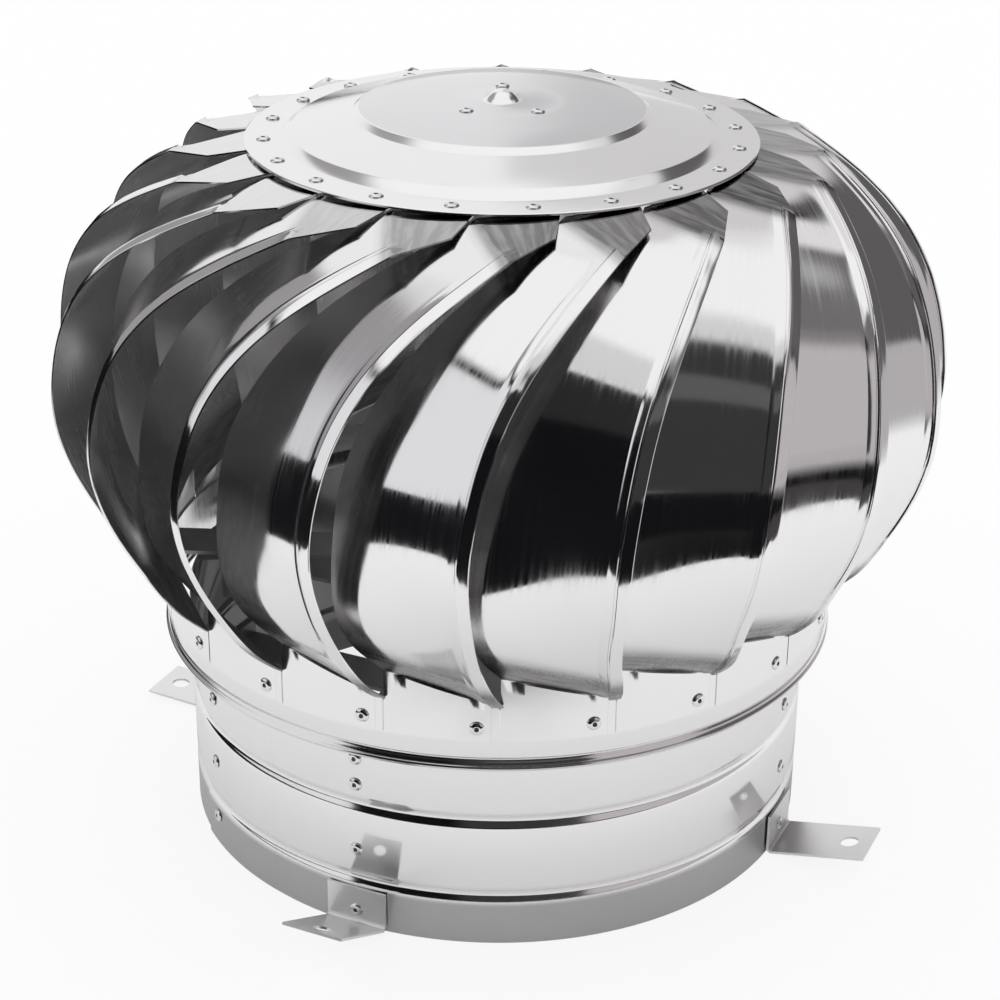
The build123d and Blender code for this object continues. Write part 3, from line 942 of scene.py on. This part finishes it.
def make_camera():
    lift, roll = radians(CAMERA_LIFT), radians(CAMERA_ROLL)
    back = Vector((0, -cos(lift), sin(lift)))
    right = Vector((1, 0, 0))
    up = back.cross(right)
    tilted_right = right * cos(roll) + up * sin(roll)
    tilted_up = up * cos(roll) - right * sin(roll)
    data = bpy.data.cameras.new("camera")
    data.lens = CAMERA_LENS
    data.sensor_width = CAMERA_SENSOR
    camera = bpy.data.objects.new("camera", data)
    bpy.context.scene.collection.objects.link(camera)
    pose = Matrix((tilted_right, tilted_up, back)).transposed().to_4x4()
    camera.matrix_world = Matrix.Translation(CAMERA_TARGET + back * CAMERA_DISTANCE) @ pose
    bpy.context.scene.camera = camera


ROOM_DARK = (0.006, 0.006, 0.007)      # what the metal sees where the studio has no patch
# The studio's patches, each over those before it: the azimuth of its middle, half its width, elevation
# from and to, and how soft its sides, its foot and its head are, all in degrees, and its colour.
PATCHES = [
    (0, 200, 52, 120, 1, 5, 1, (0.98, 0.98, 0.98)),          # overhead silk
    (8, 40, 54, 66, 16, 6, 6, (0.70, 0.70, 0.71)),           # its darker front edge
    (14, 22, -4, 57, 8, 14, 4, (0.040, 0.039, 0.040)),       # dim wall in front, right of the middle
    (16, 17, 34, 42, 5, 3, 3, (0.110, 0.108, 0.110)),
    (-28, 14, 31, 50, 5, 4, 2, (0.024, 0.023, 0.024)),
    (-80, 29, -18, 44, 2, 2, 3, (0.80, 0.80, 0.82)),         # left panel
    (-142, 34, -8, 49, 8, 8, 8, (0.34, 0.33, 0.34)),         # left, behind
    (86, 42, 43, 53, 10, 4, 4, (0.17, 0.165, 0.165)),        # right, high
    (142, 16, 46, 56, 8, 3, 6, (0.80, 0.79, 0.80)),
    (52, 19, -7, 35, 3, 10, 10, (0.52, 0.49, 0.50)),         # right panel
    (110, 44, -30, 12, 4, 3, 6, (0.48, 0.46, 0.47)),         # right, low
    (124, 44, 16, 40, 7, 4, 5, (0.115, 0.11, 0.112)),        # right, behind
    (180, 27, -30, 57, 5, 3, 4, (0.67, 0.66, 0.67)),         # back paper
    (-163, 16, -30, 57, 5, 3, 4, (0.92, 0.92, 0.93)),        # and its brighter half
]


def wrapped_azimuth(tree, azimuth, middle):
    """Degrees from a patch's middle, either way round."""
    turned = math_node(tree, "SUBTRACT", azimuth, middle)
    return math_node(tree, "ABSOLUTE", math_node(tree, "WRAP", turned, 180.0, -180.0))


def make_world():
    """The patches to mirrors, and plain white to everything else."""
    world = bpy.data.worlds.new("studio")
    bpy.context.scene.world = world
    world.use_nodes = True
    world.cycles.sampling_method = "NONE"
    tree = world.node_tree
    way = split_axes(tree, tree.nodes.new("ShaderNodeTexCoord").outputs["Generated"])
    front = math_node(tree, "MULTIPLY", way["Y"], -1.0)
    azimuth = math_node(tree, "MULTIPLY", math_node(tree, "ARCTAN2", way["X"], front), degrees(1))
    elevation = math_node(tree, "MULTIPLY", math_node(tree, "ARCSINE", way["Z"]), degrees(1))
    seen = ROOM_DARK
    for middle, half, low, high, side_soft, foot_soft, head_soft, tint in PATCHES:
        aside = wrapped_azimuth(tree, azimuth, middle)
        mask = map_range(tree, aside, half, half + side_soft, 1.0, 0.0, True)
        foot = map_range(tree, elevation, low - foot_soft, low, 0.0, 1.0, True)
        head = map_range(tree, elevation, high, high + head_soft, 1.0, 0.0, True)
        mask = math_node(tree, "MULTIPLY", mask, math_node(tree, "MULTIPLY", foot, head))
        seen = mix_colour(tree, mask, seen, tint)
    glossy = tree.nodes.new("ShaderNodeLightPath").outputs["Is Glossy Ray"]
    tree.links.new(mix_colour(tree, glossy, (1, 1, 1), seen), tree.nodes["Background"].inputs["Color"])


FLOOR_SIZE = 12.0
FLOOR_DROP = 0.0002           # below the object's foot, so that no face of it lies in the floor
FLOOR_COLOUR = (0.97, 0.97, 0.97)
TABLE_FRONT = 0.405           # how far the white table reaches to the front and to the left
TABLE_LEFT = 0.46
TABLE_EDGE = 0.006            # width over which its white ends
FAR_RIGHT = 0.95              # where the floor starts to fade to a mid grey on the right
FAR_FADE = 0.65
FAR_COLOUR = (0.48, 0.46, 0.47)
STRIP_DEPTH = 0.32            # lighter floor just past the table's front edge
STRIP_FULL = 0.7              # share of that depth before it starts to fade
STRIP_RIGHT = (0.12, 0.34)    # and it comes up between these, to the right of the middle
STRIP_COLOUR = (0.055, 0.051, 0.051)
FLOOR_GLOW = 0.84             # share of plain white that the camera sees in the floor
TABLE_GLOW = 0.08             # the same for the metal


def make_floor():
    """A pale floor that stays white to the camera and keeps the object's shadow."""
    bpy.ops.mesh.primitive_plane_add(size=FLOOR_SIZE, location=(0, 0, -FLOOR_DROP))
    floor = bpy.context.object
    floor.name = "floor"
    material, tree, shader = new_material("floor_white", FLOOR_COLOUR, 0.8, 0.0)
    shader.inputs["Specular IOR Level"].default_value = 0.0
    path = tree.nodes.new("ShaderNodeLightPath")
    place = split_axes(tree, tree.nodes.new("ShaderNodeNewGeometry").outputs["Position"])
    front = map_range(tree, place["Y"], -TABLE_FRONT - TABLE_EDGE, -TABLE_FRONT, 1.0, 0.0)
    left = map_range(tree, place["X"], -TABLE_LEFT - TABLE_EDGE, -TABLE_LEFT, 1.0, 0.0)
    far = map_range(tree, place["X"], FAR_RIGHT, FAR_RIGHT + FAR_FADE, 0.0, 1.0)
    beyond = math_node(tree, "MAXIMUM", math_node(tree, "MAXIMUM", front, left), far)
    strip_end = -TABLE_FRONT - STRIP_DEPTH
    strip_fades = -TABLE_FRONT - STRIP_FULL * STRIP_DEPTH
    near_edge = map_range(tree, place["Y"], strip_end, strip_fades, 0.0, 1.0, True)
    to_right = map_range(tree, place["X"], *STRIP_RIGHT, 0.0, 1.0, True)
    strip = math_node(tree, "MULTIPLY", near_edge, to_right)
    tone = mix_colour(tree, far, mix_colour(tree, strip, ROOM_DARK, STRIP_COLOUR), FAR_COLOUR)
    dark = tree.nodes.new("ShaderNodeEmission")
    tree.links.new(tone, dark.inputs["Color"])
    glow = tree.nodes.new("ShaderNodeEmission")
    lit = map_range(tree, path.outputs["Is Camera Ray"], 0.0, 1.0, TABLE_GLOW, FLOOR_GLOW)
    white = mix_shader(tree, lit, shader.outputs["BSDF"], glow.outputs["Emission"])
    hidden = math_node(tree, "MULTIPLY", beyond, path.outputs["Is Glossy Ray"])
    surface = mix_shader(tree, hidden, white, dark.outputs["Emission"])
    tree.links.new(surface, tree.nodes["Material Output"].inputs["Surface"])
    floor.data.materials.append(material)


# ---- the scene ------------------------------------------------------------------------------
bpy.context.scene.view_settings.view_transform = "Standard"
make_camera()
make_world()
make_floor()
make_neck()
dress_feet()
make_ring()
make_plate()
for number in range(1, BLADE_COUNT + 1):
    make_blade(number)
make_rivets()
dress_works()
